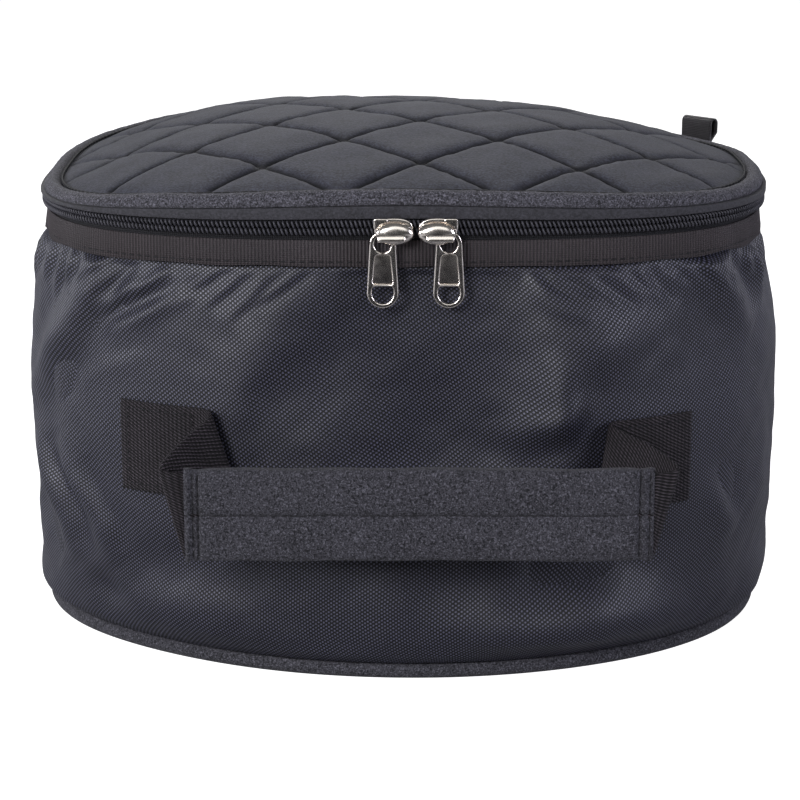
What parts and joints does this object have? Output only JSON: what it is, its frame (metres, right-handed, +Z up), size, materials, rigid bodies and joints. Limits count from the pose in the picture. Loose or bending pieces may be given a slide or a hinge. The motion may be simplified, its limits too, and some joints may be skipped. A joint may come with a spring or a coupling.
{
  "type": "helmet bag",
  "caption": "Oval soft helmet bag with a domed quilted zip lid, felt border and piping, and a padded carry handle on webbing across the front.",
  "frame": {"origin": "middle of the base board's underside, on the floor", "axes": "+Z up, +X to the viewer's right along the long side, the front with the handle faces -Y"},
  "size_m": [0.3389, 0.3237, 0.2208],
  "materials": {
    "woven": "coarse woven bag cloth, satin",
    "felt": "brushed felt, matt",
    "quilt": "fine heathered padded cloth, matt",
    "trim": "smooth cloth band, matt",
    "grosgrain": "ribbed grosgrain tape",
    "zip_cloth": "fine zip tape",
    "coil": "moulded coil, semi-gloss",
    "webbing": "heavy woven webbing",
    "ribbon": "satin ribbon",
    "nickel": "polished plated metal"
  },
  "bodies": {
    "bag": {"base_board": "woven", "base_piping": "felt", "body_wall": "woven", "rim_tape": "grosgrain", "lid_panel": "quilt", "lid_border": "felt", "lid_band": "trim", "ribbon_loop": "ribbon", "zip_tape_lower": "zip_cloth", "zip_tape_upper": "zip_cloth", "zip_coil": "coil", "hinge_strip": "zip_cloth", "slider_left": "nickel", "slider_right": "nickel", "handle_strap": "webbing", "handle_grip": "felt"},
    "pull_left": {"pull_left": "nickel"},
    "pull_right": {"pull_right": "nickel"}
  },
  "joints": [
    {"name": "pull_left_swing", "type": "hinge", "parent": "bag", "child": "pull_left", "pos_m": [-0.0084, -0.1417, 0.1862], "axis": [0, 1, 0], "range_deg": [-14, 90]},
    {"name": "pull_right_swing", "type": "hinge", "parent": "bag", "child": "pull_right", "pos_m": [0.018, -0.1417, 0.1862], "axis": [0, -1, 0], "range_deg": [-14, 90]}
  ]
}
